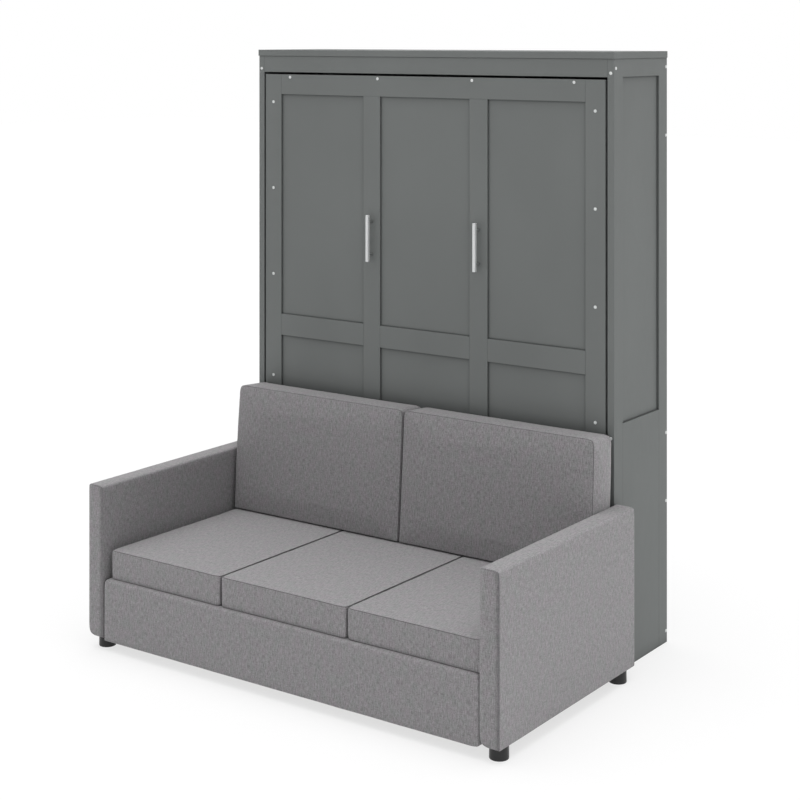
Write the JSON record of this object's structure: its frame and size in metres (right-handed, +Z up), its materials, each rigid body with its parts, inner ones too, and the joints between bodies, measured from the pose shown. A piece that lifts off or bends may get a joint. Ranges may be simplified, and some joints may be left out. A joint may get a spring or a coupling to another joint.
{
  "type": "wall bed with sofa",
  "caption": "Upright wall bed cabinet with a panelled fold-down front, bar handles and a sofa of loose cushions in front; the bed folds down over the tipped cushions.",
  "frame": {"origin": "on the floor, at the middle of the whole footprint", "axes": "+X to the right as you face the front, +Y back to the wall, +Z up"},
  "size_m": [1.8166, 1.3102, 2.236],
  "materials": {
    "painted_board": "satin grey paint on board",
    "inner_board": "grey faced board",
    "bare_wood": "bare plywood",
    "sofa_fabric": "light grey heather weave",
    "mattress_fabric": "off-white knitted ticking",
    "webbing": "black woven webbing",
    "black_plastic": "matte black plastic",
    "black_steel": "black powder coat",
    "plated_steel": "bright plated steel",
    "brushed_handle": "satin nickel",
    "screw_cover": "pale round covers"
  },
  "bodies": {
    "cabinet": {"top_cap": "painted_board", "header_rail": "painted_board", "kick_board": "painted_board", "back_panel": "inner_board", "back_top_rail": "inner_board", "back_middle_rail": "inner_board", "back_bottom_rail": "inner_board", "cabinet_screw_covers": "screw_cover", "left_side_frame": "painted_board", "right_side_frame": "painted_board", "left_side_inset_panel": "painted_board", "right_side_inset_panel": "painted_board", "left_side_lower_board": "painted_board", "right_side_lower_board": "painted_board", "left_side_plate": "black_steel", "right_side_plate": "black_steel", "sofa_base_cover": "sofa_fabric", "sofa_base_rail": "bare_wood", "seat_deck": "bare_wood", "deck_rails": "bare_wood", "centre_support_leg": "black_plastic", "sofa_feet": "black_plastic", "left_arm_cover": "sofa_fabric", "right_arm_cover": "sofa_fabric", "left_arm_core": "bare_wood", "right_arm_core": "bare_wood", "seat_cushion_left": "sofa_fabric", "seat_cushion_middle": "sofa_fabric", "seat_cushion_right": "sofa_fabric"},
    "bed": {"bed_platform": "painted_board", "bed_head_board": "inner_board", "bed_foot_board": "inner_board", "left_bed_side_rail": "inner_board", "right_bed_side_rail": "inner_board", "mattress": "mattress_fabric", "mattress_straps": "webbing", "strap_buckles": "black_plastic", "front_screw_covers": "screw_cover", "strut_studs": "plated_steel", "leg_pivot_pins": "plated_steel", "left_hinge_bracket": "black_steel", "right_hinge_bracket": "black_steel", "front_left_stile": "painted_board", "front_right_stile": "painted_board", "front_top_rail": "painted_board", "front_bottom_rail": "painted_board", "front_left_mullion": "painted_board", "front_right_mullion": "painted_board", "front_mid_rails": "painted_board", "left_handle": "brushed_handle", "right_handle": "brushed_handle"},
    "left_tube": {"left_strut_tube": "black_steel"},
    "right_tube": {"right_strut_tube": "black_steel"},
    "left_rod": {"left_strut_rod": "plated_steel"},
    "right_rod": {"right_strut_rod": "plated_steel"},
    "left_leg": {"left_swing_leg": "black_steel"},
    "right_leg": {"right_swing_leg": "black_steel"},
    "left_back_cushion": {"back_cushion_left": "sofa_fabric"},
    "right_back_cushion": {"back_cushion_right": "sofa_fabric"}
  },
  "joints": [
    {"name": "bed_fold", "type": "hinge", "parent": "cabinet", "child": "bed", "pos_m": [0, 0.26165, 0.5573], "axis": [1, 0, 0], "range_deg": [0, 90]},
    {"name": "left_tube_turn", "type": "hinge", "parent": "cabinet", "child": "left_tube", "pos_m": [-0.7915, 0.31201, 0.84289], "axis": [1, 0, 0], "range_deg": [0, 45]},
    {"name": "left_rod_turn", "type": "hinge", "parent": "bed", "child": "left_rod", "pos_m": [-0.7915, 0.32194, 0.27364], "axis": [1, 0, 0], "range_deg": [-45, 0]},
    {"name": "left_leg_swing", "type": "hinge", "parent": "bed", "child": "left_leg", "pos_m": [-0.8002, 0.31365, 2.0655], "axis": [1, 0, 0], "range_deg": [-90, 0]},
    {"name": "left_cushion_tip", "type": "hinge", "parent": "cabinet", "child": "left_back_cushion", "pos_m": [-0.4095, 0.05565, 0.3833], "axis": [1, 0, 0], "range_deg": [0, 94]},
    {"name": "right_tube_turn", "type": "hinge", "parent": "cabinet", "child": "right_tube", "pos_m": [0.7915, 0.31201, 0.84289], "axis": [1, 0, 0], "range_deg": [0, 45]},
    {"name": "right_rod_turn", "type": "hinge", "parent": "bed", "child": "right_rod", "pos_m": [0.7915, 0.32194, 0.27364], "axis": [1, 0, 0], "range_deg": [-45, 0]},
    {"name": "right_leg_swing", "type": "hinge", "parent": "bed", "child": "right_leg", "pos_m": [0.8002, 0.31365, 2.0655], "axis": [1, 0, 0], "range_deg": [-90, 0]},
    {"name": "right_cushion_tip", "type": "hinge", "parent": "cabinet", "child": "right_back_cushion", "pos_m": [0.4095, 0.05565, 0.3833], "axis": [1, 0, 0], "range_deg": [0, 94]}
  ],
  "couplings": [
    {"joint": "left_tube_turn", "follows": "bed_fold", "ratio": 0.5},
    {"joint": "left_rod_turn", "follows": "bed_fold", "ratio": -0.5},
    {"joint": "left_leg_swing", "follows": "bed_fold", "ratio": -1},
    {"joint": "left_cushion_tip", "follows": "bed_fold", "ratio": 1.0444},
    {"joint": "right_tube_turn", "follows": "bed_fold", "ratio": 0.5},
    {"joint": "right_rod_turn", "follows": "bed_fold", "ratio": -0.5},
    {"joint": "right_leg_swing", "follows": "bed_fold", "ratio": -1},
    {"joint": "right_cushion_tip", "follows": "bed_fold", "ratio": 1.0444}
  ]
}
